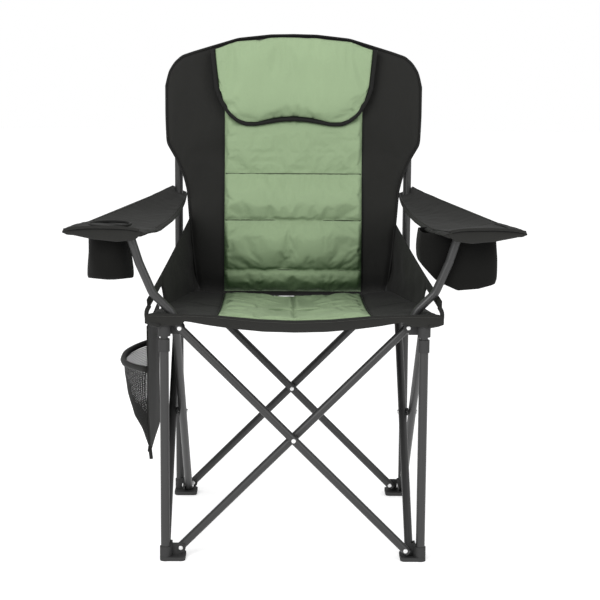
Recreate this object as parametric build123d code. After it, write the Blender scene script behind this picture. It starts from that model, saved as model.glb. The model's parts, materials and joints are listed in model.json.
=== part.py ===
from build123d import *
import os

# Folding camp chair. Millimetres, +Z up, front faces -Y, origin on the floor at the
# centre of the four feet.

# --- frame ---
SPAN = 450.0            # distance between the two foot pins of each side, the same on all four sides
RISE = 450.0            # height from the foot pins to the top pins
PIN_Z = 22.0            # foot pin height
TOP_Z = PIN_Z + RISE    # top pin height
POST_INSET = 30.0       # post axis, outboard of the pins
POST = SPAN / 2 + POST_INSET
PIN = SPAN / 2
TUBE_D = 17.0           # crossed tubes
TUBE_WALL = 1.0
POST_D = 18.0           # lower front posts and rear uprights
POST_WALL = 1.2
INNER_POST_D = 15.4     # upper front posts, sliding inside the lower ones
TUBE_GAP = 4.0          # between the two crossed tubes of a side
TUBE_PITCH = TUBE_D + TUBE_GAP
TUBE_END = 9.0          # tube end past its pin
INNER_POST_BOTTOM = 190.0
OUTER_POST_TOP = 430.0
COLLAR_H = 25.0

# --- rivets ---
RIVET_R = 2.5
RIVET_HOLE_R = 2.56
HEAD_R = 4.6
HEAD_H = 2.4
HEAD_GAP = 0.1

# --- plastic parts ---
LUG_T = 3.6
LUG_R = 10.0
FOOT_SIZE = 51.0
FOOT_BASE_H = 8.0
FOOT_H = 29.0
SOCKET_R = 12.5
HUB_LOW = TOP_Z - 16.0
HUB_HIGH = TOP_Z + 7.0
SLIDER_GAP = 0.3

# --- arm supports, from the top pin: outward, up ---
ARM_PATH = [(17, 33), (52, 68), (78, 128), (92, 172)]
ARM_BEND_R = 30.0
ARM_CAP_H = 6.0

# --- rear uprights: x, z of the bends ---
UPRIGHT_PATH = [(POST, 780), (267, 835), (267, 945), (222, 984)]
UPRIGHT_BEND_R = 25.0
UPRIGHT_FROM = 5.0

# --- soft goods ---
SOFT_GAP = 0.4
ARMREST_SPLIT_Y = -158.0    # the level front of each armrest ends here
CUP_X = -364.0
CUP_Y = -203.0
CUP_TOP_R = 42.0
CUP_BASE_R = 45.0
CUP_WALL = 2.5
CUP_LOW = 563.0
CUP_HIGH = 655.0
COOLER_WALL = 4.0
SEAT_SPLIT_Y = -20.0
PANEL_HALF = 152.0      # half width of the coloured centre panel

os.makedirs("parts", exist_ok=True)


def save(shape, name):
    export_step(shape, f"parts/{name}.step")


def turn(shape, quarter_turns):
    return Rot(0, 0, 90 * quarter_turns) * shape


def rod(start, end, radius):
    a = Vector(*start)
    b = Vector(*end)
    return Solid.make_cylinder(radius, (b - a).length, Plane(origin=a, z_dir=b - a))


def block(x0, x1, y0, y1, z0, z1):
    return Pos((x0 + x1) / 2, (y0 + y1) / 2, (z0 + z1) / 2) * Box(x1 - x0, y1 - y0, z1 - z0)


def bent_rod(points, bend_radius, radius):
    path = FilletPolyline(*points, radius=bend_radius)
    start = Plane(origin=path @ 0, z_dir=path % 0)
    return sweep(start * Circle(radius), path)


def plan(points, z0, z1):
    face = make_face(Polyline(*points, close=True))
    return Pos(0, 0, z0) * extrude(face, z1 - z0)


def front_outline(points, y0, y1):
    face = make_face(Polyline(*[(x, y0, z) for x, z in points], close=True))
    return extrude(face, y1 - y0, dir=(0, 1, 0))


def side_profile(points, x0, x1):
    face = make_face(Polyline(*[(x0, y, z) for y, z in points], close=True))
    return extrude(face, x1 - x0, dir=(1, 0, 0))


def mirror_x(shape):
    return mirror(shape, about=Plane.YZ)


# Crossed tubes of the front side; the other sides are the same pair turned by quarter turns.
OUTER_Y = -POST
INNER_Y = -POST + TUBE_PITCH


def pin_holes(y, tops, crossing_radius):
    holes = [rod((x, y - 20, z), (x, y + 20, z), RIVET_HOLE_R) for x, z in tops]
    holes.append(rod((0, y - 20, PIN_Z + RISE / 2), (0, y + 20, PIN_Z + RISE / 2), crossing_radius))
    return holes


def cross_tube(top_side, y, crossing_radius, arm=False):
    # top_side -1: the top end is on the left; the foot end is always on the other side
    step = TUBE_END / 2 ** 0.5
    foot = (-top_side * (PIN + step), y, PIN_Z - step)
    top = (top_side * (PIN + step), y, TOP_Z + step)
    if arm:
        points = [foot, (top_side * PIN, y, TOP_Z)]
        points += [(top_side * (PIN + out), y, TOP_Z + up) for out, up in ARM_PATH]
        tube = bent_rod(points, ARM_BEND_R, TUBE_D / 2) - bent_rod(points, ARM_BEND_R, TUBE_D / 2 - TUBE_WALL)
    else:
        tube = rod(foot, top, TUBE_D / 2) - rod(foot, top, TUBE_D / 2 - TUBE_WALL)
    pins = [(-top_side * PIN, PIN_Z), (top_side * PIN, TOP_Z)]
    for hole in pin_holes(y, pins, crossing_radius):
        tube -= hole
    return tube


def rivet(x, z, y_out, y_in):
    # heads sit just outside y_out and y_in
    low = (x, y_out - HEAD_GAP, z)
    high = (x, y_in + HEAD_GAP, z)
    shank = rod(low, high, RIVET_R)
    front_head = rod((x, y_out - HEAD_GAP - HEAD_H, z), low, HEAD_R)
    back_head = rod(high, (x, y_in + HEAD_GAP + HEAD_H, z), HEAD_R)
    front_head = fillet(front_head.edges().group_by(Axis.Y)[0], 1.6)
    back_head = fillet(back_head.edges().group_by(Axis.Y)[-1], 1.6)
    return shank + front_head + back_head


def crossing_rivet():
    return rivet(0, PIN_Z + RISE / 2, OUTER_Y - TUBE_D / 2 + HEAD_GAP, INNER_Y + TUBE_D / 2)


def crossing_spacer():
    z = PIN_Z + RISE / 2
    outer_face = OUTER_Y + TUBE_D / 2
    inner_face = INNER_Y - TUBE_D / 2 - HEAD_GAP
    ring = rod((0, outer_face, z), (0, inner_face, z), 8)
    return ring - rod((0, outer_face, z), (0, inner_face, z), RIVET_R)


# Corner parts are drawn for the front left corner and turned to the others.
LUG_MID = -POST + TUBE_PITCH / 2
LUG_OUT = LUG_MID - LUG_T / 2
LUG_IN = LUG_MID + LUG_T / 2
TURN = {"front_left": 0, "front_right": 1, "rear_right": 2, "rear_left": 3}


def lug(z, low, high):
    # plate on the front side of the corner, reaching from the post to the pin
    plate = block(-POST, -PIN, LUG_OUT, LUG_IN, low, high)
    plate += rod((-PIN, LUG_OUT, z), (-PIN, LUG_IN, z), LUG_R)
    return plate - rod((-PIN, LUG_OUT - 1, z), (-PIN, LUG_IN + 1, z), RIVET_R)


def side_copy(shape):
    # mirror across the corner's diagonal: front side to left side
    return mirror(shape, about=Plane(origin=(0, 0, 0), z_dir=(1, -1, 0)))


def foot():
    middle = -POST - POST_D / 2 - 2 + FOOT_SIZE / 2
    base = Pos(middle, middle, FOOT_BASE_H / 2) * Box(FOOT_SIZE, FOOT_SIZE, FOOT_BASE_H)
    base = fillet(base.edges().filter_by(Axis.Z), 9)
    base = fillet(base.faces().sort_by(Axis.Z)[0].edges(), 1.5)
    socket = rod((-POST, -POST, 0), (-POST, -POST, FOOT_H), SOCKET_R - 1.5)
    front_lug = lug(PIN_Z, 2, PIN_Z + LUG_R)
    body = base + socket + front_lug + side_copy(front_lug)
    return body - rod((-POST, -POST, UPRIGHT_FROM), (-POST, -POST, 60), POST_D / 2)


def corner_block(bore_radius, top):
    sleeve = rod((-POST, -POST, HUB_LOW), (-POST, -POST, HUB_HIGH), SOCKET_R)
    front_lug = lug(TOP_Z, HUB_LOW + 2, TOP_Z + LUG_R - 1)
    body = sleeve + front_lug + side_copy(front_lug)
    return body - rod((-POST, -POST, HUB_LOW - 1), (-POST, -POST, top), bore_radius)


def foot_rivets():
    front = rivet(-PIN, PIN_Z, LUG_OUT + HEAD_GAP, INNER_Y + TUBE_D / 2)
    side = rivet(-PIN, PIN_Z, OUTER_Y - TUBE_D / 2, LUG_IN - HEAD_GAP)
    return Compound(children=[front, side_copy(side)])


def top_rivets():
    front = rivet(-PIN, TOP_Z, OUTER_Y - TUBE_D / 2, LUG_IN - HEAD_GAP)
    side = rivet(-PIN, TOP_Z, LUG_OUT + HEAD_GAP, INNER_Y + TUBE_D / 2)
    return Compound(children=[front, side_copy(side)])


def lower_post():
    outer = rod((-POST, -POST, UPRIGHT_FROM), (-POST, -POST, OUTER_POST_TOP), POST_D / 2)
    return outer - rod((-POST, -POST, UPRIGHT_FROM), (-POST, -POST, OUTER_POST_TOP), POST_D / 2 - POST_WALL)


def upper_post():
    outer = rod((-POST, -POST, INNER_POST_BOTTOM), (-POST, -POST, TOP_Z + 4), INNER_POST_D / 2)
    return outer - rod((-POST, -POST, INNER_POST_BOTTOM), (-POST, -POST, TOP_Z + 4), INNER_POST_D / 2 - 1)


def post_collar():
    low = OUTER_POST_TOP - COLLAR_H + 20
    ring = rod((-POST, -POST, OUTER_POST_TOP - 5), (-POST, -POST, low + COLLAR_H), SOCKET_R - 1.5)
    ring = ring - rod((-POST, -POST, OUTER_POST_TOP), (-POST, -POST, 460), INNER_POST_D / 2 + 0.1)
    return ring - rod((-POST, -POST, 400), (-POST, -POST, OUTER_POST_TOP), POST_D / 2)


def upright_points(side):
    points = [(side * POST, POST, UPRIGHT_FROM)]
    points += [(side * x, POST, z) for x, z in UPRIGHT_PATH]
    return points


def upright(side):
    points = upright_points(side)
    outer = bent_rod(points, UPRIGHT_BEND_R, POST_D / 2)
    return outer - bent_rod(points, UPRIGHT_BEND_R, POST_D / 2 - POST_WALL)


def upright_space(side):
    return bent_rod(upright_points(side), UPRIGHT_BEND_R, POST_D / 2 + SOFT_GAP)


def end_cap(before, end, radius, height):
    a = Vector(*before)
    b = Vector(*end)
    step = (b - a).normalized() * height
    cap = rod(tuple(b), tuple(b + step), radius + 0.6)
    plug = rod(tuple(b - step * 1.5), tuple(b), radius - 1.4)
    return cap + plug


def arm_cap(side, y):
    before, end = ARM_PATH[-2:]
    low = (side * (PIN + before[0]), y, TOP_Z + before[1])
    high = (side * (PIN + end[0]), y, TOP_Z + end[1])
    return end_cap(low, high, TUBE_D / 2, ARM_CAP_H)


# Feet, hubs, sliders and their rivets
for corner, quarter in TURN.items():
    save(turn(foot(), quarter), f"foot_{corner}")
    save(turn(foot_rivets(), quarter), f"foot_rivets_{corner}")
    save(turn(top_rivets(), quarter), f"top_rivets_{corner}")

for corner in ["front_left", "front_right"]:
    quarter = TURN[corner]
    save(turn(corner_block(INNER_POST_D / 2, TOP_Z + 4), quarter), f"hub_{corner}")
    save(turn(lower_post(), quarter), f"lower_post_{corner}")
    save(turn(upper_post(), quarter), f"upper_post_{corner}")
    save(turn(post_collar(), quarter), f"post_collar_{corner}")

for corner in ["rear_left", "rear_right"]:
    slider = corner_block(POST_D / 2 + SLIDER_GAP, HUB_HIGH + 10)
    save(turn(slider, TURN[corner]), f"slider_{corner}")

# Crossed tubes: the outer one falls to the right seen from outside, the inner one to the left
SIDES = {"front": 0, "right": 1, "rear": 2, "left": 3}
for side, quarter in SIDES.items():
    is_front = side == "front"
    outer = cross_tube(-1, OUTER_Y, RIVET_R, arm=is_front)
    inner = cross_tube(1, INNER_Y, RIVET_HOLE_R, arm=is_front)
    save(turn(outer, quarter), f"{side}_tube_outer")
    save(turn(inner, quarter), f"{side}_tube_inner")
    save(turn(crossing_rivet(), quarter), f"{side}_crossing_rivet")
    save(turn(crossing_spacer(), quarter), f"{side}_crossing_spacer")

save(arm_cap(-1, OUTER_Y), "arm_cap_left")
save(arm_cap(1, INNER_Y), "arm_cap_right")
save(upright(-1), "upright_left")
save(upright(1), "upright_right")

# Backrest: cover with the top pocket over the uprights, padded centre panel, head pillow
HALF_OUTLINE = [
    (205, 462), (222, 560), (229, 637), (234, 695), (242, 726), (259, 764),
    (281, 800), (281, 940), (276, 965), (254, 990), (215, 1001), (172, 1013), (122, 1028), (50, 1036),
]
back_outline = HALF_OUTLINE + [(-x, z) for x, z in reversed(HALF_OUTLINE)]
back_side = [
    (204, 462), (196, 505), (199, 540), (212, 650), (232, 722), (240, 772), (239, 1040),
    (268, 1040), (268, 782), (243, 722), (222.5, 650), (210, 540), (207, 505), (215, 462),
]
backrest = front_outline(back_outline, 180, 280) & side_profile(back_side, -300, 300)
backrest = backrest - upright_space(-1) - upright_space(1)
save(backrest, "backrest_cover")

quilt_outline = [(-PANEL_HALF, 474), (PANEL_HALF, 474), (PANEL_HALF, 1000), (-PANEL_HALF, 1000)]
quilt_side = [
    (188, 474), (182, 505), (185, 540), (198, 650), (218, 722), (226, 772), (225, 1000),
    (238.8, 1000), (239.7, 772), (231.7, 722), (211.7, 650), (198.6, 540), (195.6, 505), (201.4, 474),
]
quilt = front_outline(quilt_outline, 170, 250) & side_profile(quilt_side, -300, 300)
save(quilt, "backrest_quilt")

PILLOW = [
    (-176, 1005), (-166, 928), (-152, 878), (-122, 850), (122, 850), (152, 878), (166, 928), (176, 1005),
    (122, 1021), (50, 1029), (-50, 1029), (-122, 1021),
]
pillow = front_outline(PILLOW, 194, 224.8)
pillow = fillet(pillow.edges().filter_by(Axis.Y), 12)
save(pillow, "head_pillow")

# Seat: two halves of one sling, each with its part of the coloured panel
FRONT_TOP = [(-288, 500), (-150, 497), (0, 485), (150, 497), (288, 500)]
FRONT_LOW = [(288, 490), (150, 487), (0, 475), (-150, 487), (-288, 490)]
REAR_TOP = [(-222, 478), (-150, 470), (0, 458), (150, 470), (222, 478)]
REAR_LOW = [(222, 468), (150, 460), (0, 448), (-150, 460), (-222, 468)]
SEAT_FRONT_Y = -266.6
SEAT_REAR_Y = 189.0


def section(points, y):
    return make_face(Polyline(*[(x, y, z) for x, z in points], close=True))


sling = loft([section(FRONT_TOP + FRONT_LOW, SEAT_FRONT_Y), section(REAR_TOP + REAR_LOW, SEAT_REAR_Y)], ruled=True)
# slots where the two arm supports come up through the sling
sling -= block(-262, -212, -268, -244, 460, 510)
sling -= block(212, 262, -245, -223, 460, 510)
save(sling & block(-300, 300, -300, SEAT_SPLIT_Y, 400, 520), "seat_sling_front")
save(sling & block(-300, 300, SEAT_SPLIT_Y + 0.6, 300, 400, 520), "seat_sling_rear")

PAD_TOP = [(-150, 507), (0, 495), (150, 507)]
PAD_LOW = [(150, 497.4), (0, 485.4), (-150, 497.4)]
PAD_REAR_TOP = [(-150, 480), (0, 468), (150, 480)]
PAD_REAR_LOW = [(150, 470.4), (0, 458.4), (-150, 470.4)]
pad = loft([section(PAD_TOP + PAD_LOW, SEAT_FRONT_Y), section(PAD_REAR_TOP + PAD_REAR_LOW, SEAT_REAR_Y)], ruled=True)
save(pad & block(-300, 300, -300, SEAT_SPLIT_Y, 400, 520), "seat_panel_front")
save(pad & block(-300, 300, SEAT_SPLIT_Y + 0.6, 174, 400, 520), "seat_panel_rear")

HEM = [
    (-288, 500), (-150, 497), (0, 485), (150, 497), (288, 500),
    (288, 490), (205, 486), (120, 473), (0, 466), (-120, 473), (-205, 486), (-288, 490),
]
save(front_outline(HEM, -272, SEAT_FRONT_Y), "seat_front_hem")


# Armrests: padded slings from the uprights to the arm supports
ARM_SIDE = [(-280, 660), (-150, 660), (280, 690), (280, 700), (-150, 670), (-280, 670)]
ARM_PLAN = [(-452, -280), (-446, -245), (-276, 280), (-238, 280), (-238, 215), (-290, -200), (-290, -280)]
armrest = plan(ARM_PLAN, 640, 720) & side_profile(ARM_SIDE, -500, -200)
armrest = armrest - rod((-POST, POST, 600), (-POST, POST, 720), POST_D / 2)
front_area = block(-460, -280, -290, ARMREST_SPLIT_Y, 600, 720)
rear_area = block(-460, -200, ARMREST_SPLIT_Y + 0.6, 290, 600, 720)
cup_hole = rod((CUP_X, CUP_Y, 600), (CUP_X, CUP_Y, 720), CUP_TOP_R - CUP_WALL)
save((armrest & front_area) - cup_hole, "armrest_front_left")
save(armrest & rear_area, "armrest_rear_left")
save(mirror_x(armrest & front_area), "armrest_front_right")
save(mirror_x(armrest & rear_area), "armrest_rear_right")

# Cup holder: an open fabric can under the left armrest
cup = Pos(CUP_X, CUP_Y, CUP_LOW) * Cone(CUP_BASE_R, CUP_TOP_R, CUP_HIGH - CUP_LOW, align=(Align.CENTER, Align.CENTER, Align.MIN))
cup_room = Pos(CUP_X, CUP_Y, CUP_LOW + CUP_WALL) * Cone(
    CUP_BASE_R - CUP_WALL, CUP_TOP_R - CUP_WALL, CUP_HIGH - CUP_LOW, align=(Align.CENTER, Align.CENTER, Align.MIN)
)
save(cup - cup_room, "cup_holder")

# Cooler pouch under the right armrest
COOLER = [(250, 654), (250, 596), (280, 562), (318, 541), (345, 541), (402, 556), (394, 654)]
COOLER_ROOM = [(254, 660), (254, 598), (283, 566), (319, 545), (345, 545), (397, 559), (390, 660)]
cooler = front_outline(COOLER, -221, -115) - front_outline(COOLER_ROOM, -217, -119)
save(cooler, "cooler_pouch")

# Side straps from the edges of the backrest to the front seat corners
def strap(side, z_rear, z_front):
    rear = Pos(side * 231, 222, z_rear) * (Rot(90, 0, 0) * Rectangle(2.4, 22))
    front = Pos(side * 289, -262, z_front) * (Rot(90, 0, 0) * Rectangle(2.4, 22))
    return loft([rear.face(), front.face()], ruled=True)


save(strap(-1, 624, 513), "side_strap_left")
save(strap(1, 612, 513), "side_strap_right")

# Mesh pocket on the left side: solid backing panel and a bulging net front
POCKET_Y = 165.0
save(block(-297, -294, -POCKET_Y, POCKET_Y, 184, 458), "pocket_panel")
NET = [
    (-297.2, 187), (-301, 190), (-320, 226), (-336, 254), (-348, 300), (-357, 370),
    (-353, 370), (-344, 302), (-332, 256), (-316.5, 229), (-299, 196), (-297.2, 194),
]
net_front = extrude(make_face(Polyline(*[(x, -POCKET_Y, z) for x, z in NET], close=True)), 2 * POCKET_Y, dir=(0, 1, 0))
END = [(-297.2, 187), (-301, 190), (-320, 226), (-336, 254), (-348, 300), (-357, 370), (-297.2, 370)]
net_end = extrude(make_face(Polyline(*[(x, -POCKET_Y, z) for x, z in END], close=True)), 4, dir=(0, 1, 0))
save(net_front + net_end + Pos(0, 2 * POCKET_Y - 4, 0) * net_end, "mesh_pocket")
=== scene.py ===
import json
import math

import bmesh
import bpy
from mathutils import Matrix, Vector, noise

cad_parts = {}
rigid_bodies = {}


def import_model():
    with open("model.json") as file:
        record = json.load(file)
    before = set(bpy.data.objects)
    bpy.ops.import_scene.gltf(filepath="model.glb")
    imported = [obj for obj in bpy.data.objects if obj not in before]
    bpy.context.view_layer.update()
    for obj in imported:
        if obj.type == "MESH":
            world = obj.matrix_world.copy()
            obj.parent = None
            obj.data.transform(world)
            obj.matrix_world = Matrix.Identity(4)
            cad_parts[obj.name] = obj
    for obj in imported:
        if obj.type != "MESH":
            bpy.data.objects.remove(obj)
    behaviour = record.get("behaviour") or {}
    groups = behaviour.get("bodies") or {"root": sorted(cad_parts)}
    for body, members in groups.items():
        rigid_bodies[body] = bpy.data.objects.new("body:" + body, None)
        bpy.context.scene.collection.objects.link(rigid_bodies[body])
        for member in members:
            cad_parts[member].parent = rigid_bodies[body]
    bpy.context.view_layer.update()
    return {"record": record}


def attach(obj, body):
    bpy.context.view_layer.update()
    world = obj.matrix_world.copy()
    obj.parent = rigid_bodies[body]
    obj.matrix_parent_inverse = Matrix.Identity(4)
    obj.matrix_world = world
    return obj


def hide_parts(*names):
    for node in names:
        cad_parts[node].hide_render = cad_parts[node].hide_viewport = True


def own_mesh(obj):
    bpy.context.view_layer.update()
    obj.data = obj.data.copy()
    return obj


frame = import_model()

bl_info = {
    "name": "Folding camp chair",
    "version": (1, 0, 0),
    "blender": (4, 2, 0),
    "location": "View3D > Sidebar > Camp chair",
    "description": "Builds the finish, the soft goods and the stage of a folding camp chair",
    "category": "Object",
}

# Main places of the frame, in metres
PANEL_HALF = 0.152
SEAT_SPLIT = -0.02
SEAT_FRONT = -0.268
SEAT_REAR = 0.189
SPLIT_GAP = 0.0006
PAD_REAR = 0.176
ARM_SPLIT = -0.158
CUP = Vector((-0.364, -0.203, 0.0))


class CampChairSettings(bpy.types.PropertyGroup):
    green: bpy.props.FloatVectorProperty(
        name="Green cloth", description="Colour of the padded panels", subtype="COLOR",
        size=3, min=0, max=1, default=(0.262, 0.350, 0.206),
    )
    black: bpy.props.FloatVectorProperty(
        name="Black cloth", description="Colour of the covers, armrests and pouches", subtype="COLOR",
        size=3, min=0, max=1, default=(0.0125, 0.0125, 0.0112),
    )
    paint: bpy.props.FloatVectorProperty(
        name="Frame paint", description="Colour of the painted tubes", subtype="COLOR",
        size=3, min=0, max=1, default=(0.0110, 0.0110, 0.0112),
    )
    plastic: bpy.props.FloatVectorProperty(
        name="Plastic", description="Colour of the feet, hubs and sliders", subtype="COLOR",
        size=3, min=0, max=1, default=(0.013, 0.013, 0.012),
    )
    pad_lift: bpy.props.FloatProperty(
        name="Pad crown", description="Height of the crown between two sewn channels",
        subtype="DISTANCE", unit="LENGTH", min=0, max=0.03, default=0.011,
    )
    wrinkle: bpy.props.FloatProperty(
        name="Wrinkle depth", description="Depth of the wrinkles in the slack cloth",
        subtype="DISTANCE", unit="LENGTH", min=0, max=0.01, default=0.0022,
    )
    mesh_cell: bpy.props.FloatProperty(
        name="Net cell", description="Spacing of the holes in the net pocket",
        subtype="DISTANCE", unit="LENGTH", min=0.003, max=0.02, default=0.0042,
    )


def settings():
    return bpy.context.scene.camp_chair


# ---------------------------------------------------------------- small helpers


def ramp(table, x):
    # smooth line through (x, value) pairs
    if x <= table[0][0]:
        return table[0][1]
    for (x0, y0), (x1, y1) in zip(table, table[1:]):
        if x <= x1:
            t = (x - x0) / (x1 - x0)
            return y0 + (y1 - y0) * t
    return table[-1][1]


def smooth(t):
    t = min(1.0, max(0.0, t))
    return t * t * (3 - 2 * t)


def rough(x, y, z, scale):
    return noise.noise(Vector((x, y, z)) * scale)


def link(name, mesh):
    obj = bpy.data.objects.new(name, mesh)
    bpy.context.scene.collection.objects.link(obj)
    return obj


def finish_mesh(bm, name, material, shade=True):
    bmesh.ops.recalc_face_normals(bm, faces=bm.faces[:])
    mesh = bpy.data.meshes.new(name)
    bm.to_mesh(mesh)
    bm.free()
    mesh.materials.append(material)
    for face in mesh.polygons:
        face.use_smooth = shade
    return link(name, mesh)


def grid_solid(name, across, along, front, back, material):
    # closed cloth solid: a grid carried onto a front and a back surface, both given as f(u, v) in -1..1
    bm = bmesh.new()
    bmesh.ops.create_grid(bm, x_segments=across, y_segments=along, size=1.0)
    ring = bmesh.ops.extrude_face_region(bm, geom=bm.faces[:], use_keep_orig=True)
    back_verts = {v for v in ring["geom"] if isinstance(v, bmesh.types.BMVert)}
    for vert in bm.verts:
        place = back if vert in back_verts else front
        vert.co = Vector(place(vert.co.x, vert.co.y))
    return finish_mesh(bm, name, material)


def tube_along(name, points, radius, material, closed=False, sides=8, smooth_line=True):
    curve = bpy.data.curves.new(name, "CURVE")
    curve.dimensions = "3D"
    curve.bevel_depth = radius
    curve.bevel_resolution = max(1, sides // 4)
    curve.use_fill_caps = True
    spline = curve.splines.new("NURBS" if smooth_line else "POLY")
    spline.points.add(len(points) - 1)
    for knot, place in zip(spline.points, points):
        knot.co = (*place, 1.0)
    spline.use_cyclic_u = closed
    if smooth_line:
        spline.order_u = 3
        spline.use_endpoint_u = not closed
        spline.resolution_u = 3
    holder = link(name + "_line", curve)
    bpy.context.view_layer.update()
    mesh = bpy.data.meshes.new_from_object(holder.evaluated_get(bpy.context.evaluated_depsgraph_get()))
    bpy.data.objects.remove(holder)
    bm = bmesh.new()
    bm.from_mesh(mesh)
    bpy.data.meshes.remove(mesh)
    bmesh.ops.remove_doubles(bm, verts=bm.verts[:], dist=0.00005)
    return finish_mesh(bm, name, material)


def join(name, pieces):
    bm = bmesh.new()
    materials = []
    for piece in pieces:
        start = len(bm.faces)
        bm.from_mesh(piece.data)
        bm.faces.ensure_lookup_table()
        material = piece.data.materials[0]
        if material not in materials:
            materials.append(material)
        for face in bm.faces[start:]:
            face.material_index = materials.index(material)
            face.smooth = True
        bpy.data.objects.remove(piece)
    mesh = bpy.data.meshes.new(name)
    bm.to_mesh(mesh)
    bm.free()
    for material in materials:
        mesh.materials.append(material)
    return link(name, mesh)


def swell(obj, pins, pressure, frames, cap, slack=0.0):
    # cloth blown up gently between its pinned seams; the result replaces the mesh
    start = [v.co.copy() for v in obj.data.vertices]
    group = obj.vertex_groups.new(name="pins")
    for index, vert in enumerate(start):
        weight = pins(vert)
        if weight > 0:
            group.add([index], weight, "REPLACE")
    cloth = obj.modifiers.new("Cloth", "CLOTH")
    rules = cloth.settings
    rules.quality = 4
    rules.mass = 0.3
    rules.tension_stiffness = 15
    rules.compression_stiffness = 15
    rules.shear_stiffness = 8
    rules.bending_stiffness = 0.6
    rules.use_pressure = True
    rules.uniform_pressure_force = pressure
    rules.vertex_group_mass = "pins"
    rules.shrink_min = -slack
    rules.effector_weights.gravity = 0
    cloth.collision_settings.use_collision = False
    cloth.collision_settings.use_self_collision = False
    scene = bpy.context.scene
    cloth.point_cache.frame_start = 1
    cloth.point_cache.frame_end = frames
    for number in range(1, frames + 1):
        scene.frame_set(number)
    moved = obj.evaluated_get(bpy.context.evaluated_depsgraph_get()).to_mesh()
    places = [v.co.copy() for v in moved.vertices]
    obj.modifiers.remove(cloth)
    scene.frame_set(1)
    for vert, before, after in zip(obj.data.vertices, start, places):
        step = after - before
        if step.length > cap:
            step *= cap / step.length
        vert.co = before + step
    obj.vertex_groups.clear()
    obj.data.update()


# ---------------------------------------------------------------- materials


class Nodes:
    def __init__(self, name):
        self.material = bpy.data.materials.new(name)
        self.material.use_nodes = True
        self.tree = self.material.node_tree
        self.shader = self.tree.nodes["Principled BSDF"]
        self.place = self.tree.nodes.new("ShaderNodeTexCoord").outputs["Object"]

    def add(self, kind, **inputs):
        node = self.tree.nodes.new(kind)
        for key, value in inputs.items():
            socket = node.inputs[key.replace("_", " ")]
            if isinstance(value, bpy.types.NodeSocket):
                self.tree.links.new(value, socket)
            else:
                socket.default_value = value
        return node

    def math(self, operation, a, b):
        node = self.tree.nodes.new("ShaderNodeMath")
        node.operation = operation
        for socket, value in zip(node.inputs, (a, b)):
            if isinstance(value, bpy.types.NodeSocket):
                self.tree.links.new(value, socket)
            else:
                socket.default_value = value
        return node.outputs[0]

    def band(self, value, low, high):
        node = self.add("ShaderNodeMapRange", Value=value)
        node.inputs["To Min"].default_value = low
        node.inputs["To Max"].default_value = high
        return node.outputs[0]

    def noise(self, scale, detail=4.0):
        return self.add("ShaderNodeTexNoise", Vector=self.place, Scale=scale, Detail=detail).outputs["Fac"]

    def blend(self, factor, a, b):
        node = self.tree.nodes.new("ShaderNodeMix")
        node.data_type = "RGBA"
        self.tree.links.new(factor, node.inputs["Factor"])
        node.inputs[6].default_value = (*a, 1)
        node.inputs[7].default_value = (*b, 1)
        return node.outputs[2]

    def with_painted_shade(self, tone, dark):
        # painted shade: the colour sinks towards the dark shade colour where ambient occlusion finds the cloth in a
        # fold or a corner
        open_air = self.add("ShaderNodeAmbientOcclusion", Distance=0.26)
        open_air.samples = 8
        reach = self.add("ShaderNodeMapRange", Value=open_air.outputs["AO"])
        reach.inputs["From Min"].default_value = 0.28
        reach.inputs["From Max"].default_value = 0.88
        node = self.tree.nodes.new("ShaderNodeMix")
        node.data_type = "RGBA"
        self.tree.links.new(reach.outputs[0], node.inputs["Factor"])
        node.inputs[6].default_value = (*dark, 1)
        self.tree.links.new(tone, node.inputs[7])
        return node.outputs[2]

    def set(self, name, value):
        socket = self.shader.inputs[name]
        if isinstance(value, bpy.types.NodeSocket):
            self.tree.links.new(value, socket)
        else:
            socket.default_value = value

    def bump(self, height, strength, distance):
        node = self.add("ShaderNodeBump", Height=height, Strength=strength, Distance=distance)
        self.set("Normal", node.outputs["Normal"])


def darker(colour, share):
    return tuple(c * share for c in colour)


def woven(name, colour, thread=0.0011, contrast=0.16, roughness=0.82, worn=1.25, dark=None, shine=0.22):
    made = Nodes(name)
    waves = []
    for axis in ("X", "Z", "Y"):
        wave = made.add("ShaderNodeTexWave", Vector=made.place, Scale=1 / thread / 6.3)
        wave.bands_direction = axis
        waves.append(wave.outputs["Fac"])
    weave = made.math("MULTIPLY", made.math("ADD", waves[0], waves[2]), waves[1])
    cloud = made.noise(9.0, 5.0)
    speck = made.noise(420.0, 2.0)
    mixed = made.math("ADD", made.math("MULTIPLY", cloud, 0.6), made.math("MULTIPLY", speck, 0.4))
    tone = made.blend(mixed, darker(colour, 1 - contrast * 1.6), darker(colour, worn))
    # base colour carries painted shade: darkened towards the dark colour by ambient occlusion in folds and corners
    made.set("Base Color", made.with_painted_shade(tone, dark or darker(colour, 0.4)))
    made.set("Roughness", made.band(mixed, roughness - 0.08, min(1.0, roughness + 0.1)))
    made.set("Sheen Weight", 0.03)
    made.set("Sheen Roughness", 0.6)
    made.set("Specular IOR Level", shine)
    height = made.math("ADD", made.math("MULTIPLY", weave, 0.35), made.math("MULTIPLY", speck, 0.5))
    made.bump(height, 0.35, 0.0006)
    return made.material


def painted(name, colour):
    made = Nodes(name)
    grain = made.noise(900.0, 2.0)
    cloud = made.noise(14.0, 4.0)
    made.set("Base Color", made.blend(cloud, darker(colour, 0.85), darker(colour, 1.15)))
    made.set("Roughness", made.band(cloud, 0.34, 0.5))
    made.set("IOR", 1.17)
    made.bump(grain, 0.12, 0.0003)
    return made.material


def moulded(name, colour):
    made = Nodes(name)
    grain = made.noise(1300.0, 3.0)
    cloud = made.noise(30.0, 3.0)
    made.set("Base Color", made.blend(cloud, darker(colour, 0.8), darker(colour, 1.3)))
    made.set("Roughness", made.band(cloud, 0.45, 0.62))
    made.bump(grain, 0.25, 0.0004)
    return made.material


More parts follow.
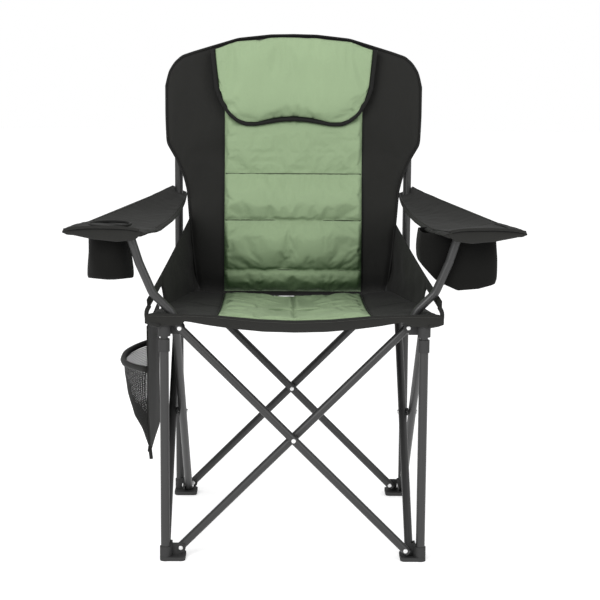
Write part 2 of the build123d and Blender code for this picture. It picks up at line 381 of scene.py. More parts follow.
def polished(name):
    made = Nodes(name)
    scratch = made.noise(700.0, 6.0)
    made.set("Base Color", made.blend(scratch, (0.62, 0.62, 0.62), (0.85, 0.85, 0.85)))
    made.set("Metallic", 1.0)
    made.set("Roughness", made.band(scratch, 0.18, 0.34))
    made.bump(scratch, 0.1, 0.0002)
    return made.material


def material(name):
    return bpy.data.materials[name]


class CAMPCHAIR_OT_materials(bpy.types.Operator):
    """Make the materials"""

    bl_idname = "campchair.materials"
    bl_label = "Materials"

    def execute(self, context):
        s = settings()
        # dark is the painted shade colour the green cloth takes in folds and corners
        woven("green_cloth", s.green, contrast=0.08, worn=1.08, roughness=0.78, dark=(0.014, 0.040, 0.008))
        woven("black_cloth", s.black, contrast=0.2, worn=1.35)
        woven("black_strap", darker(s.black, 0.9), thread=0.002, contrast=0.2, worn=1.2, roughness=0.7)
        woven("pouch_cloth", darker(s.black, 0.42), contrast=0.2, worn=1.3, shine=0.08)
        woven("binding_cloth", darker(s.black, 0.45), contrast=0.2, worn=1.2, roughness=0.7)
        woven("net_cord", darker(s.black, 0.4), roughness=0.7, shine=0.08)
        woven("green_thread", darker(s.green, 0.22), roughness=0.8)
        woven("grey_thread", darker(s.black, 2.6), roughness=0.6)
        painted("frame_paint", s.paint)
        moulded("black_plastic", s.plastic)
        polished("rivet_steel")
        return {"FINISHED"}


class CAMPCHAIR_OT_frame(bpy.types.Operator):
    """Give the rigid pieces their finish"""

    bl_idname = "campchair.frame"
    bl_label = "Frame"

    def execute(self, context):
        finishes = {
            "frame_paint": "frame_paint", "black_plastic": "black_plastic", "rivet_steel": "rivet_steel",
        }
        for part in frame["record"]["subparts"]:
            if part["material_slot"] not in finishes:
                continue
            obj = bpy.data.objects[part["node"]]
            obj.data.materials.clear()
            obj.data.materials.append(material(finishes[part["material_slot"]]))
        return {"FINISHED"}


# ---------------------------------------------------------------- backrest

BACK_HALF = [
    (0.462, 0.205), (0.500, 0.213), (0.560, 0.221), (0.637, 0.228), (0.695, 0.233),
    (0.726, 0.241), (0.764, 0.258), (0.800, 0.279), (0.86, 0.281), (1.04, 0.281),
]
BACK_TOP = [
    (0.0, 1.037), (0.05, 1.036), (0.122, 1.028), (0.172, 1.013), (0.215, 1.0),
    (0.245, 0.990), (0.262, 0.975), (0.274, 0.955), (0.281, 0.925),
]
BACK_FRONT = [
    (0.462, 0.211), (0.474, 0.206), (0.486, 0.2015), (0.498, 0.1985), (0.512, 0.197), (0.540, 0.199),
    (0.600, 0.2062), (0.640, 0.2115), (0.665, 0.2165), (0.700, 0.2258), (0.722, 0.2315), (0.742, 0.2358),
    (0.760, 0.2385), (0.780, 0.2399), (0.820, 0.2404), (1.04, 0.2395),
]


def back_place(u, v):
    x_top = abs(u) * 0.281
    top = ramp(BACK_TOP, x_top)
    z = 0.462 + (v + 1) / 2 * (top - 0.462)
    x = u * ramp(BACK_HALF, z)
    return x, z


def back_front_y(x, z):
    base = ramp(BACK_FRONT, z)
    across = min(1.0, abs(x) / 0.24)
    sag = 0.007 * (1 - across ** 2) * smooth((z - 0.48) / 0.15) * smooth((1.03 - z) / 0.1)
    return base + sag


def back_wrinkle(x, z):
    depth = settings().wrinkle
    side = abs(x)
    # a few soft folds fan out from the corner where the pocket narrows
    dx = side - 0.25
    dz = z - 0.765
    angle = math.atan2(dz, -dx)
    reach = math.hypot(dx, dz)
    fan = math.sin(angle * 6 + 1.6 * rough(x, 0, z, 7)) * math.exp(-((reach - 0.10) / 0.06) ** 2)
    broad = rough(x * 1.3, 0.3, z * 0.8, 11)
    crease = 1 - abs(rough(x * 1.7, 2.3, z * 0.7, 13)) * 3.2
    low = math.exp(-((z - 0.60) / 0.06) ** 2) * math.sin((z + 0.9 * side) * 70) * smooth((side - 0.15) / 0.05)
    return depth * (0.7 * fan + 1.1 * broad + 0.35 * max(0.0, crease) + 0.4 * low)


def back_cover_front(u, v):
    x, z = back_place(u, v)
    edge = smooth((1 - abs(u)) / 0.05) * smooth((1 - v) / 0.04)
    y = back_front_y(x, z) + 0.004 * (1 - edge)
    # the cloth hollows between the upright and the padded centre
    return x, y + back_wrinkle(x, z) * edge, z


def back_cover_back(u, v):
    x, z = back_place(u, v)
    edge = smooth((1 - abs(u)) / 0.05) * smooth((1 - v) / 0.03)
    pocket = smooth((z - 0.755) / 0.03)
    bulge = math.exp(-((abs(x) - 0.258) / 0.035) ** 2)
    thick = 0.009 + pocket * (0.010 + 0.011 * bulge)
    y = back_front_y(x, z) + 0.004 + (thick - 0.004) * edge
    return x, y + 0.6 * back_wrinkle(x + 0.11, z) * edge, z


class CAMPCHAIR_OT_back_cover(bpy.types.Operator):
    """Sew the black back cover with its pocket over the uprights"""

    bl_idname = "campchair.back_cover"
    bl_label = "Back cover"

    def execute(self, context):
        cover = grid_solid("back_cover", 110, 130, back_cover_front, back_cover_back, material("black_cloth"))
        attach(cover, "rear_left_leg")
        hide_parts("backrest_cover")
        fold_back(cover)
        outline = []
        for step in range(-40, 41):
            x, z = back_place(step / 40, 1.0)
            outline.append((x, back_front_y(x, z) + 0.004, z))
        for side in (-1, 1):
            rim = []
            for step in range(0, 41):
                x, z = back_place(side, -1 + step / 20)
                rim.append((x, back_front_y(x, z) + 0.005, z))
            outline = outline + rim[::-1] if side == 1 else rim + outline
        binding = tube_along("back_binding", outline, 0.0032, material("binding_cloth"))
        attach(binding, "rear_left_leg")
        fold_back(binding)
        return {"FINISHED"}


def fold_back(obj):
    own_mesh(obj)


QUILT_SEAMS = (0.523, 0.632, 0.733, 0.880)
QUILT_LOW = 0.474
QUILT_HIGH = 0.955


def quilt_seam_distance(z):
    lines = (QUILT_LOW,) + QUILT_SEAMS + (QUILT_HIGH,)
    return min(abs(z - line) for line in lines)


def quilt_crown(z):
    lines = (QUILT_LOW,) + QUILT_SEAMS + (QUILT_HIGH,)
    for low, high in zip(lines, lines[1:]):
        if low <= z <= high:
            t = (z - low) / (high - low)
            return (4 * t * (1 - t)) ** 0.5
    return 0.0


def quilt_front(u, v):
    z = QUILT_LOW + (v + 1) / 2 * (QUILT_HIGH - QUILT_LOW)
    x = u * PANEL_HALF
    edge = smooth((1 - abs(u)) / 0.06)
    lift = 0.003 + settings().pad_lift * quilt_crown(z) * (0.25 + 0.75 * edge)
    near = math.exp(-((quilt_seam_distance(z) - 0.012) / 0.014) ** 2)
    pucker = 0.0009 * near * rough(x * 1.0, 3.1, z * 0.25, 48) + 0.0010 * rough(x, 2.0, z * 0.5, 14)
    return x, back_front_y(x, z) - lift + pucker * edge, z


def quilt_back(u, v):
    z = QUILT_LOW + (v + 1) / 2 * (QUILT_HIGH - QUILT_LOW)
    x = u * PANEL_HALF
    return x, back_front_y(x, z) + 0.001, z


class CAMPCHAIR_OT_back_quilt(bpy.types.Operator):
    """Sew the green padded panel with its channels"""

    bl_idname = "campchair.back_quilt"
    bl_label = "Back quilt"

    def execute(self, context):
        quilt = grid_solid("back_quilt", 84, 150, quilt_front, quilt_back, material("green_cloth"))

        def pins(place):
            seam = quilt_seam_distance(place.z) < 0.002
            side = abs(place.x) > PANEL_HALF - 0.002
            behind = place.y > back_front_y(place.x, place.z) - 0.001
            return 1.0 if seam or side or behind else 0.0

        swell(quilt, pins, pressure=1.6, frames=10, cap=0.004, slack=0.02)
        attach(quilt, "rear_left_leg")
        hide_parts("backrest_quilt")
        fold_back(quilt)
        stitches = []
        for height in QUILT_SEAMS[:3]:
            line = []
            for step in range(-30, 31):
                x = step / 30 * (PANEL_HALF - 0.002)
                line.append((x, back_front_y(x, height) - 0.0044, height))
            stitches.append(tube_along(f"seam_{int(height * 1000)}", line, 0.0012, material("green_thread")))
        for side in (-1, 1):
            line = []
            for step in range(0, 60):
                z = QUILT_LOW + step / 59 * (QUILT_HIGH - QUILT_LOW)
                line.append((side * (PANEL_HALF + 0.001), back_front_y(PANEL_HALF, z) - 0.001, z))
            stitches.append(tube_along(f"side_seam_{side}", line, 0.0016, material("binding_cloth")))
        seams = join("quilt_seams", stitches)
        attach(seams, "rear_left_leg")
        fold_back(seams)
        return {"FINISHED"}


PILLOW_LOW = [
    (0.0, 0.858), (0.03, 0.856), (0.06, 0.851), (0.09, 0.846), (0.115, 0.846), (0.132, 0.853),
    (0.148, 0.867), (0.160, 0.890), (0.168, 0.920),
]
PILLOW_SIDE = [(0.846, 0.152), (0.870, 0.158), (0.900, 0.163), (0.928, 0.167), (1.030, 0.178)]
PILLOW_BASE = 0.0150


def pillow_place(u, v):
    side = abs(u) * 0.168
    low = ramp(PILLOW_LOW, side)
    high = ramp(BACK_TOP, abs(u) * 0.177) - 0.0065
    z = low + (v + 1) / 2 * (high - low)
    return u * ramp(PILLOW_SIDE, z), z


def pillow_front(u, v):
    x, z = pillow_place(u, v)
    rise = 1 - v ** 4 if v < 0 else 1 - 0.75 * v ** 4
    crown = max(0.0, (1 - u ** 6) * rise) ** 0.5
    dent = 0.0022 * rough(x * 1.4, 5.0, z * 0.6, 16) + 0.0012 * rough(x * 2, 7.0, z * 0.5, 34)
    y = back_front_y(x, z) - PILLOW_BASE - 0.002 - (0.019 + dent) * crown
    return x, y, z


def pillow_back(u, v):
    x, z = pillow_place(u, v)
    return x, back_front_y(x, z) - PILLOW_BASE + 0.006 * (1 - u * u) * (1 - v * v), z


class CAMPCHAIR_OT_head_pillow(bpy.types.Operator):
    """Sew the head pillow with its dark piping"""

    bl_idname = "campchair.head_pillow"
    bl_label = "Head pillow"

    def execute(self, context):
        pillow = grid_solid("head_pillow_cloth", 72, 40, pillow_front, pillow_back, material("green_cloth"))

        def pins(place):
            return 1.0 if place.y > back_front_y(place.x, place.z) - PILLOW_BASE - 0.003 else 0.0

        swell(pillow, pins, pressure=2.2, frames=12, cap=0.004, slack=0.03)
        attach(pillow, "rear_left_leg")
        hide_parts("head_pillow")
        fold_back(pillow)
        rim = []
        for step in range(0, 15):
            rim.append(pillow_place(-1, 1 - step / 7))
        for step in range(-24, 25):
            rim.append(pillow_place(step / 24, -1))
        for step in range(0, 15):
            rim.append(pillow_place(1, -1 + step / 7))
        line = []
        for x, z in rim:
            away = Vector((x, z - 0.93)).normalized() * 0.003
            line.append((x + away.x, back_front_y(x, z) - PILLOW_BASE - 0.0055, z + away.y))
        piping = tube_along("pillow_piping", line, 0.0052, material("binding_cloth"))
        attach(piping, "rear_left_leg")
        fold_back(piping)
        return {"FINISHED"}


# ---------------------------------------------------------------- seat


def seat_top(x, y):
    along = (y - SEAT_FRONT) / (SEAT_REAR - SEAT_FRONT)
    side = abs(x)
    front = ramp([(0.0, 0.486), (0.075, 0.489), (0.15, 0.496), (0.22, 0.4985), (0.29, 0.500)], side)
    rear = ramp([(0.0, 0.459), (0.075, 0.463), (0.15, 0.470), (0.222, 0.478)], side)
    sag = 0.012 * math.sin(math.pi * min(1.0, max(0.0, along))) * (1 - min(1.0, side / 0.25) ** 2)
    return front + (rear - front) * along - sag


def seat_half(y):
    return ramp([(-0.268, 0.288), (-0.2, 0.277), (0.0, 0.255), (0.189, 0.222)], y)


def seat_cloth(x, y):
    depth = settings().wrinkle
    side = abs(x)
    pull = math.sin((side * 0.8 + y * 0.5) * 85 + 2 * rough(x, y, 0, 7)) * smooth((side - 0.15) / 0.05)
    return depth * (0.55 * pull + 0.7 * rough(x, y, 0.4, 15) + 0.2 * rough(x, y, 1.4, 45))


def fold_seat(obj):
    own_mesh(obj)


def seat_half_solid(name, y0, y1, along, material_name, node, body):
    def top(u, v):
        y = y0 + (v + 1) / 2 * (y1 - y0)
        x = u * seat_half(y)
        edge = smooth((1 - abs(u)) / 0.03)
        return x, y, seat_top(x, y) + seat_cloth(x, y) * edge - 0.003 * (1 - edge)

    def base(u, v):
        x, y, z = top(u, v)
        return x, y, z - 0.007

    sling = grid_solid(name, 96, along, top, base, material(material_name))
    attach(sling, body)
    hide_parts(node)
    fold_seat(sling)
    return sling


def seat_panel(name, y0, y1, along, node, body):
    def lift(u, v):
        edge = max(0.0, (1 - abs(u) ** 6) * (1 - abs(v) ** 8)) ** 0.5
        return edge

    def top(u, v):
        y = y0 + (v + 1) / 2 * (y1 - y0)
        half = PANEL_HALF - 0.002
        x = u * half
        wave = 0.0012 * rough(x, y, 6.0, 22)
        return x, y, seat_top(x, y) + 0.002 + (0.008 + wave) * lift(u, v)

    def base(u, v):
        y = y0 + (v + 1) / 2 * (y1 - y0)
        x = u * (PANEL_HALF - 0.002)
        return x, y, seat_top(x, y) - 0.001

    pad = grid_solid(name, 70, along, top, base, material("green_cloth"))

    def pins(place):
        return 1.0 if place.z < seat_top(place.x, place.y) + 0.0025 else 0.0

    swell(pad, pins, pressure=2.0, frames=10, cap=0.004, slack=0.04)
    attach(pad, body)
    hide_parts(node)
    fold_seat(pad)
    line_left = []
    line_right = []
    for step in range(0, 24):
        y = y0 + step / 23 * (y1 - y0)
        line_left.append((-PANEL_HALF, y, seat_top(-PANEL_HALF, y) + 0.002))
        line_right.append((PANEL_HALF, y, seat_top(PANEL_HALF, y) + 0.002))
    seams = [tube_along(name + "_l", line_left, 0.0014, material("binding_cloth"))]
    seams.append(tube_along(name + "_r", line_right, 0.0014, material("binding_cloth")))
    edge = join(name + "_seams", seams)
    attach(edge, body)
    fold_seat(edge)


HEM_LOW = [
    (0.0, 0.466), (0.06, 0.4675), (0.12, 0.473), (0.17, 0.480), (0.205, 0.4865), (0.215, 0.4875), (0.222, 0.4795),
    (0.262, 0.4775), (0.280, 0.4785), (0.291, 0.483),
]


def hem_out(u, v):
    x = u * 0.2915
    high = seat_top(x, SEAT_FRONT) + 0.003 - 0.004 * smooth((abs(u) - 0.96) / 0.04)
    low = ramp(HEM_LOW, abs(x))
    z = low + (v + 1) / 2 * (high - low)
    y = -0.2715 - 0.0022 * (1 - v * v) + 0.0012 * rough(x, 0.0, z, 26)
    return x, y, z


def hem_in(u, v):
    x, y, z = hem_out(u, v)
    return x, y + 0.005, z


class CAMPCHAIR_OT_seat(bpy.types.Operator):
    """Sew the seat sling, its green panel and the front hem"""

    bl_idname = "campchair.seat"
    bl_label = "Seat"

    def execute(self, context):
        cloth = "black_cloth"
        rear_from = SEAT_SPLIT + SPLIT_GAP
        seat_half_solid("seat_cloth_front", SEAT_FRONT, SEAT_SPLIT, 60, cloth, "seat_sling_front", "seat_front")
        seat_half_solid("seat_cloth_rear", rear_from, SEAT_REAR, 50, cloth, "seat_sling_rear", "seat_rear")
        seat_panel("seat_pad_front", SEAT_FRONT + 0.004, SEAT_SPLIT, 56, "seat_panel_front", "seat_front")
        seat_panel("seat_pad_rear", rear_from, PAD_REAR, 48, "seat_panel_rear", "seat_rear")
        hem = grid_solid("front_hem", 90, 8, hem_out, hem_in, material("black_cloth"))
        stitch = []
        for step in range(-40, 41):
            x, y, z = hem_out(step / 41, 0.62)
            stitch.append((x, y - 0.0004, z))
        line = tube_along("hem_stitch", stitch, 0.0005, material("grey_thread"))
        whole = join("seat_hem", [hem, line])
        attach(whole, "seat_front")
        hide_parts("seat_front_hem")
        fold_seat(whole)
        return {"FINISHED"}


# ---------------------------------------------------------------- armrests

ARM_OUTER = [(-0.282, 0.448), (-0.262, 0.449), (-0.235, 0.440), (-0.16, 0.415), (0.255, 0.279), (0.28, 0.272)]
ARM_INNER = [
    (-0.282, 0.288), (-0.24, 0.278), (-0.158, 0.268), (-0.02, 0.251), (0.12, 0.241), (0.215, 0.238), (0.28, 0.238),
]
ARM_RISE = [(-0.282, 0.663), (-0.24, 0.668), (-0.15, 0.669), (0.255, 0.697), (0.28, 0.699)]


def arm_place(side, y, u):
    inner = ramp(ARM_INNER, y)
    outer = ramp(ARM_OUTER, y)
    return side * (inner + (u + 1) / 2 * (outer - inner))


def arm_top_z(y):
    return ramp(ARM_RISE, y)


ARM_DROOP = [
    (-0.281, 0.003), (-0.22, 0.011), (-0.158, 0.016), (-0.05, 0.020), (0.08, 0.024), (0.19, 0.022), (0.28, 0.016),
]


def armrest_surface(side, y0, y1, thick):
    def top(u, v):
        y = y0 + (v + 1) / 2 * (y1 - y0)
        x = arm_place(side, y, u)
        edge = smooth((1 - abs(u)) / 0.12)
        sag = 0.010 * math.sin(math.pi * min(1.0, max(0.0, (y + 0.2) / 0.45)))
        curl = 0.004 * u * u
        z = arm_top_z(y) - sag * (1 - u * u) + curl - 0.004 * (1 - edge)
        z -= ramp(ARM_DROOP, y) * ((1 - u) / 2) ** 1.8
        z += settings().wrinkle * (0.7 * rough(x, y * 0.5, 3.0, 22) + 0.3 * rough(x, y, 4.0, 60)) * edge
        return x, y, z

    def base(u, v):
        x, y, z = top(u, v)
        edge = smooth((1 - abs(u)) / 0.12)
        return x, y, z - 0.002 - thick * edge

    return top, base


def front_flap(side, name):
    # stiff front band, turned down over the front edge
    def out(u, v):
        x = side * (0.3725 + u * 0.0755)
        crown = 1 - abs(u) ** 3
        high = 0.664 + 0.006 * crown
        low = 0.662 - ramp([(-1.0, 0.004), (-0.85, 0.014), (-0.4, 0.018), (0.2, 0.0135), (0.7, 0.006), (1.0, 0.0)], u)
        z = low + (v + 1) / 2 * (high - low)
        y = -0.2825 - 0.004 * (1 - v * v) * crown + 0.002 * rough(x, 0, z, 30)
        return x, y, z

    def inside(u, v):
        x, y, z = out(u, v)
        return x, y + 0.006, z

    return grid_solid(name, 40, 8, out, inside, material("black_cloth"))


class CAMPCHAIR_OT_armrests(bpy.types.Operator):
    """Sew both armrests"""

    bl_idname = "campchair.armrests"
    bl_label = "Armrests"

    def execute(self, context):
        for side, word in ((-1, "left"), (1, "right")):
            top, base = armrest_surface(side, ARM_SPLIT + 0.0006, 0.28, 0.007)
            rear = grid_solid(f"arm_cloth_rear_{word}", 26, 90, top, base, material("black_cloth"))
            seams = []
            for offset in (-0.86, 0.86):
                line = []
                for step in range(0, 40):
                    x, y, z = top(offset, -1 + step / 19.5)
                    line.append((x, y, z + 0.0003))
                seams.append(tube_along(f"arm_seam_{word}_{offset}", line, 0.0006, material("grey_thread")))
            rear = join(f"arm_rear_{word}", [rear] + seams)
            body = "rear_left_leg" if side < 0 else "rear_right_leg"
            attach(rear, body)
            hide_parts(f"armrest_rear_{word}")
            pull_in(rear)

            top, base = armrest_surface(side, -0.281, ARM_SPLIT, 0.007)
            front = grid_solid(f"arm_cloth_front_{word}", 44, 36, top, base, material("black_cloth"))
            flap = front_flap(side, f"arm_flap_{word}")
            pieces = [front, flap]
            line = []
            for step in range(0, 41):
                u = -0.96 + step / 40 * 1.92
                x = side * (0.3725 + u * 0.0755)
                line.append((x, -0.2845, 0.6665 + 0.006 * (1 - abs(u) ** 3)))
            pieces.append(tube_along(f"arm_lip_{word}", line, 0.0028, material("black_cloth")))
            carrier = "cup_carrier" if side < 0 else "cooler_carrier"
            if side < 0:
                pieces.append(cup_mouth())
            else:
                pieces.append(cooler_zip(top))
            whole = join(f"arm_front_{word}", pieces)
            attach(whole, carrier)
            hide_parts(f"armrest_front_{word}")
        return {"FINISHED"}


def pull_in(obj):
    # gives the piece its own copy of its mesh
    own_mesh(obj)


def cup_mouth():
    ring = []
    for step in range(36):
        angle = step / 36 * math.tau
        x = CUP.x + 0.041 * math.cos(angle)
        y = CUP.y + 0.041 * math.sin(angle)
        ring.append((x, y, arm_top_z(y) + 0.001))
    return tube_along("cup_rim", ring, 0.0028, material("binding_cloth"), closed=True)


def cooler_zip(top):
    line = []
    for u, v in ((-0.9, 0.8), (-0.9, -0.55), (-0.7, -0.8), (0.5, -0.8), (0.75, -0.6), (0.75, 0.8)):
        x, y, z = top(u, v)
        line.append((x, y, z + 0.001))
    return tube_along("cooler_zip", line, 0.0018, material("binding_cloth"))


def cup_wall(u, v):
    angle = u * math.pi
    height = (v + 1) / 2
    z = 0.5635 + height * 0.098
    z -= 0.003 * (1 - height) * math.sin(angle)
    radius = 0.0462 - 0.0055 * height
    radius -= 0.0015 * math.exp(-(height / 0.03) ** 2)
    radius += 0.0016 * rough(math.cos(angle), math.sin(angle), height * 1.3, 2.3)
    return CUP.x + radius * math.cos(angle), CUP.y + radius * math.sin(angle), z


# Rings that make up the base of a pouch
BASE_RINGS = 3
BASE_RING = 0.009
BASE_RING_DROP = 0.0012


def open_can(name, wall, bottom_z, across, along, thick, cloth):
    bm = bmesh.new()
    bmesh.ops.create_grid(bm, x_segments=across, y_segments=along, size=1.0)
    for vert in bm.verts:
        vert.co = Vector(wall(vert.co.x, vert.co.y))
    bmesh.ops.remove_doubles(bm, verts=bm.verts[:], dist=0.0001)
    edges = [e for e in bm.edges if e.is_boundary and min(v.co.z for v in e.verts) < bottom_z + 0.004]
    filled = bmesh.ops.contextual_create(bm, geom=edges)["faces"]
    for _ in range(BASE_RINGS):
        bmesh.ops.inset_region(bm, faces=filled, thickness=BASE_RING, depth=BASE_RING_DROP)
        filled = [f for f in filled if f.is_valid]
    bmesh.ops.recalc_face_normals(bm, faces=bm.faces[:])
    mesh = bpy.data.meshes.new(name)
    bm.to_mesh(mesh)
    bm.free()
    mesh.materials.append(cloth)
    for face in mesh.polygons:
        face.use_smooth = True
    obj = link(name, mesh)
    solid = obj.modifiers.new("Wall", "SOLIDIFY")
    solid.thickness = thick
    solid.offset = -1
    return obj


class CAMPCHAIR_OT_cup_holder(bpy.types.Operator):
    """Sew the cup holder"""

    bl_idname = "campchair.cup_holder"
    bl_label = "Cup holder"

    def execute(self, context):
        cup = open_can("cup_pouch", cup_wall, 0.5635, 56, 30, 0.002, material("pouch_cloth"))
        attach(cup, "cup_carrier")
        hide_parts("cup_holder")
        return {"FINISHED"}


COOLER_HALF_X = 0.077
COOLER_HALF_Y = 0.052


def cooler_wall(u, v):
    angle = u * math.pi
    height = (v + 1) / 2
    c, s = math.cos(angle), math.sin(angle)
    # rounded box section
    power = 0.27
    ex = math.copysign(abs(c) ** power, c)
    ey = math.copysign(abs(s) ** power, s)
    tuck = 1 - 0.025 * math.exp(-(height / 0.05) ** 2) - 0.055 * height * (c > 0)
    cx = 0.3245
    x = cx + COOLER_HALF_X * ex * tuck
    y = -0.168 + COOLER_HALF_Y * ey * tuck
    lean = (x - cx) / COOLER_HALF_X
    low = ramp([(-1.0, 0.596), (-0.6, 0.564), (-0.1, 0.543), (0.3, 0.542), (1.0, 0.556)], lean)
    z = low + height * (0.657 - low)
    bulge = 0.003 * math.sin(math.pi * height) + 0.0015 * rough(x, y, z, 25)
    return x + bulge * c, y + bulge * s, z


class CAMPCHAIR_OT_cooler(bpy.types.Operator):
    """Sew the cooler pouch"""

    bl_idname = "campchair.cooler"
    bl_label = "Cooler pouch"

    def execute(self, context):
        cooler = open_can("cooler_bag", cooler_wall, 0.541, 72, 30, 0.003, material("pouch_cloth"))
        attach(cooler, "cooler_carrier")
        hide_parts("cooler_pouch")
        return {"FINISHED"}


# ---------------------------------------------------------------- side straps and pocket


def strap_line(side, t):
    rear = Vector((side * 0.2300, 0.2215, 0.624 if side < 0 else 0.612))
    front = Vector((side * 0.289, -0.255, 0.516))
    bow = 0.004 * math.sin(math.pi * t)
    return rear.lerp(front, t) - Vector((0, 0, bow))


GUSSET_END = 0.70


def gusset_foot(side, t):
    # lower edge of the side cloth: down the edge of the backrest, then along the edge of the seat
    y = 0.204 + (strap_line(side, t).y - 0.2215)
    half = ramp([(-0.268, 0.284), (-0.2, 0.273), (0.0, 0.250), (0.189, 0.220), (0.204, 0.2085)], y)
    return Vector((side * half, y, seat_top(half, min(y, SEAT_REAR)) - 0.004))


def side_cloth(side, name):
    # strap band with the side gusset sewn to its lower edge
    def out(u, v):
        t = (u + 1) / 2
        place = strap_line(side, t)
        drop = (1 - v) / 2
        high = place + Vector((0, 0, 0.011))
        low = place - Vector((0, 0, 0.011))
        foot = low.lerp(gusset_foot(side, t), smooth((GUSSET_END - t) / 0.04))
        edge = 1 - drop
        spot = high.lerp(foot, drop)
        ripple = 0.0035 * rough(spot.y * 1.2, spot.z * 1.6, side, 15) * smooth(drop * 3) * smooth(edge * 6)
        return spot.x + side * ripple, spot.y, spot.z

    def inside(u, v):
        x, y, z = out(u, v)
        return x - side * 0.0022, y, z

    return grid_solid(name, 90, 30, out, inside, material("black_cloth"))


def corner_loop(side, name):
    # end of the strap, carried round the outside of the arm support and down to the hem
    path = [(0.284, -0.250, 0.514), (0.2885, -0.258, 0.508), (0.2890, -0.264, 0.498), (0.2870, -0.268, 0.488)]
    path += [(0.2800, -0.2700, 0.4820), (0.262, -0.2705, 0.4800)]
    return tube_along(name, [(side * x, y, z) for x, y, z in path], 0.0045, material("black_strap"))


class CAMPCHAIR_OT_side_straps(bpy.types.Operator):
    """Sew the side straps with their gussets"""

    bl_idname = "campchair.side_straps"
    bl_label = "Side straps"

    def execute(self, context):
        for side, word in ((-1, "left"), (1, "right")):
            cloth = side_cloth(side, f"side_panel_{word}")
            gusset = join(f"side_cloth_{word}", [cloth, corner_loop(side, f"corner_loop_{word}")])
            body = "rear_left_leg" if side < 0 else "rear_right_leg"
            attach(gusset, body)
            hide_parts(f"side_strap_{word}")
            pull_in(gusset)
        return {"FINISHED"}


POCKET_Y = 0.165
TAPER_LEFT = 0.68
TAPER = 0.32
TAPER_FROM = 0.180
TAPER_OVER = 0.13
NET_THREAD = 0.0023
NET_OUT = [
    (0.186, 0.2985), (0.192, 0.3025), (0.209, 0.312), (0.226, 0.3205), (0.254, 0.3365), (0.30, 0.3485), (0.34, 0.3540),
    (0.372, 0.3575),
]


def pocket_along(u, z):
    # the side panel narrows towards its lower edge, at its front end only
    if u > 0:
        return u * POCKET_Y
    return u * POCKET_Y * (TAPER_LEFT + TAPER * smooth((z - TAPER_FROM) / TAPER_OVER))


def net_place(u, v):
    z = 0.188 + (v + 1) / 2 * 0.180
    out = ramp(NET_OUT, z)
    close = 1 - abs(u) ** 2.4
    x = 0.2975 + (out - 0.2975) * close
    return -(x + 0.002 * rough(u, v, 0.0, 3.0) * close), pocket_along(u, z), z - 0.006 * (1 - u * u) * smooth(v)


def fold_side(obj):
    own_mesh(obj)


class CAMPCHAIR_OT_side_pocket(bpy.types.Operator):
    """Sew the side panel and its net pocket"""

    bl_idname = "campchair.side_pocket"
    bl_label = "Side pocket"

    def execute(self, context):
        def out(u, v):
            z = 0.1835 + (v + 1) / 2 * 0.2745
            y = pocket_along(u, z)
            wave = 0.0025 * rough(y, z, 0, 12)
            return -0.2965 + wave * 0.4, y, z

        def inside(u, v):
            x, y, z = out(u, v)
            return x + 0.0024, y, z

        panel = grid_solid("pocket_cloth", 50, 44, out, inside, material("black_cloth"))
        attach(panel, "rear_left_slider")
        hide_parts("pocket_panel")
        fold_side(panel)

        cell = settings().mesh_cell
        bm = bmesh.new()
        bmesh.ops.create_grid(bm, x_segments=int(0.40 / cell), y_segments=int(0.20 / cell), size=1.0)
        for vert in bm.verts:
            vert.co = Vector(net_place(vert.co.x, vert.co.y))
        bmesh.ops.wireframe(
            bm, faces=bm.faces[:], thickness=NET_THREAD, offset=0.0, use_replace=True, use_boundary=True,
            use_even_offset=False, use_crease=False, crease_weight=0.0, use_relative_offset=False, material_offset=0,
        )
        net = finish_mesh(bm, "net", material("net_cord"), shade=False)
        lip = [net_place(-1 + step / 20, 1.0) for step in range(0, 41)]
        foot = [net_place(-1 + step / 20, -1.0) for step in range(0, 41)]
        band = []
        for x, y, z in lip:
            band.append((x, y, z + 0.002))
        pieces = [net, tube_along("net_lip", band, 0.0068, material("black_strap"))]
        pieces.append(tube_along("net_foot", foot, 0.003, material("black_strap")))
        tab = [(-0.296, -0.108, 0.196), (-0.2945, -0.109, 0.182), (-0.293, -0.110, 0.170)]
        pieces.append(tube_along("net_tab", tab, 0.0038, material("black_strap")))
        whole = join("net_pocket", pieces)
        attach(whole, "rear_left_slider")
        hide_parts("mesh_pocket")
        fold_side(whole)
        return {"FINISHED"}


# ---------------------------------------------------------------- stage


def area_light(name, place, target, size, power):
    data = bpy.data.lights.new(name, "AREA")
    data.shape = "RECTANGLE"
    data.size, data.size_y = size
    data.energy = power
    obj = bpy.data.objects.new(name, data)
    bpy.context.scene.collection.objects.link(obj)
    obj.location = place
    obj.rotation_euler = (Vector(target) - Vector(place)).to_track_quat("-Z", "Y").to_euler()
    return obj


def light_sky(tree, strength):
    # white behind everything, with a gentler light falling on the chair
    sky = tree.nodes["Background"]
    sky.inputs["Color"].default_value = (1, 1, 1, 1)
    seen = tree.nodes.new("ShaderNodeLightPath")
    level = tree.nodes.new("ShaderNodeMapRange")
    tree.links.new(seen.outputs["Is Camera Ray"], level.inputs["Value"])
    level.inputs["To Min"].default_value = strength
    level.inputs["To Max"].default_value = 1.0
    tree.links.new(level.outputs[0], sky.inputs["Strength"])


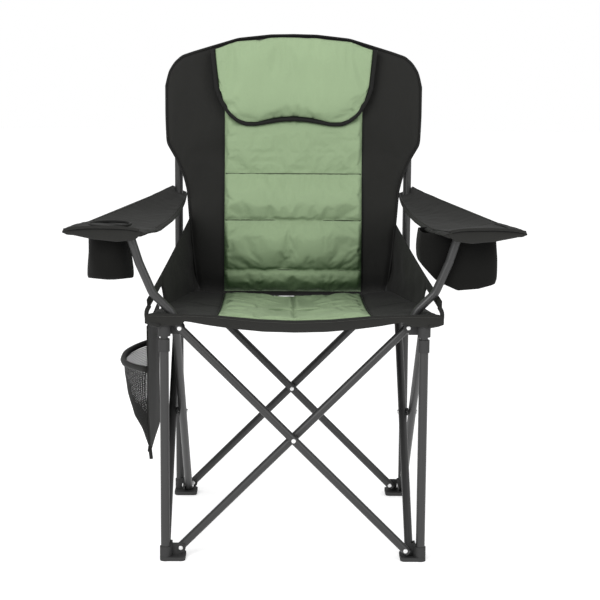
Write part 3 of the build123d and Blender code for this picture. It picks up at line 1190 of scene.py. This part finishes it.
class CAMPCHAIR_OT_stage(bpy.types.Operator):
    """Set the floor, the backdrop, the lights and the camera"""

    bl_idname = "campchair.stage"
    bl_label = "Stage"

    def execute(self, context):
        pale = Nodes("studio_floor")
        pale.set("Base Color", (0.93, 0.93, 0.93, 1))
        pale.set("Roughness", 0.9)
        pale.set("Emission Color", (1, 1, 1, 1))
        pale.set("Emission Strength", 0.46)
        bm = bmesh.new()
        bmesh.ops.create_grid(bm, x_segments=1, y_segments=1, size=14)
        floor = finish_mesh(bm, "studio_floor", pale.material)
        for vert in floor.data.vertices:
            vert.co.z = -0.0005
        world = bpy.data.worlds.new("studio")
        world.use_nodes = True
        light_sky(world.node_tree, 0.68)
        bpy.context.scene.world = world
        lights = [
            area_light("key", (-1.5, -3.0, 2.3), (0, 0, 0.6), (1.6, 1.6), 74),
            area_light("fill", (2.4, -2.4, 1.8), (0, 0, 0.5), (1.6, 1.6), 26),
            area_light("top", (0, 0.2, 3.2), (0, 0, 0.4), (2.0, 2.0), 5),
        ]
        data = bpy.data.cameras.new("camera")
        data.sensor_width = 36
        data.lens = 1682.5 / 600 * 36
        data.clip_end = 60
        camera = bpy.data.objects.new("camera", data)
        bpy.context.scene.collection.objects.link(camera)
        pitch, yaw, roll = math.radians(9.1669), math.radians(0.7443), math.radians(0.4118)
        turn = (
            Matrix.Rotation(roll, 3, "Y") @ Matrix.Rotation(pitch, 3, "X") @ Matrix.Rotation(yaw, 3, "Z")
        )
        right = turn.transposed() @ Vector((1, 0, 0))
        ahead = turn.transposed() @ Vector((0, 1, 0))
        up = turn.transposed() @ Vector((0, 0, 1))
        basis = Matrix((right, up, -ahead)).transposed()
        camera.matrix_world = Matrix.Translation((-0.0315, -3.5013, 1.0520)) @ basis.to_4x4()
        bpy.context.scene.camera = camera
        bpy.context.scene.view_settings.view_transform = "Standard"
        return {"FINISHED"}


class CAMPCHAIR_PT_panel(bpy.types.Panel):
    bl_idname = "CAMPCHAIR_PT_panel"
    bl_label = "Camp chair"
    bl_space_type = "VIEW_3D"
    bl_region_type = "UI"
    bl_category = "Camp chair"

    def draw(self, context):
        for name in ("green", "black", "paint", "plastic", "pad_lift", "wrinkle", "mesh_cell"):
            self.layout.prop(context.scene.camp_chair, name)
        for operator in OPERATORS:
            self.layout.operator(operator.bl_idname)


OPERATORS = (
    CAMPCHAIR_OT_materials,
    CAMPCHAIR_OT_frame,
    CAMPCHAIR_OT_back_cover,
    CAMPCHAIR_OT_back_quilt,
    CAMPCHAIR_OT_head_pillow,
    CAMPCHAIR_OT_seat,
    CAMPCHAIR_OT_armrests,
    CAMPCHAIR_OT_cup_holder,
    CAMPCHAIR_OT_cooler,
    CAMPCHAIR_OT_side_straps,
    CAMPCHAIR_OT_side_pocket,
    CAMPCHAIR_OT_stage,
)
CLASSES = (CampChairSettings, *OPERATORS, CAMPCHAIR_PT_panel)


def register():
    for cls in CLASSES:
        bpy.utils.register_class(cls)
    bpy.types.Scene.camp_chair = bpy.props.PointerProperty(type=CampChairSettings)


def unregister():
    del bpy.types.Scene.camp_chair
    for cls in reversed(CLASSES):
        bpy.utils.unregister_class(cls)


def main():
    register()
    for operator in OPERATORS:
        family, name = operator.bl_idname.split(".")
        result = getattr(getattr(bpy.ops, family), name)()
        if result != {"FINISHED"}:
            raise RuntimeError(f"{operator.bl_idname} did not finish")


if __name__ == "__main__":
    main()
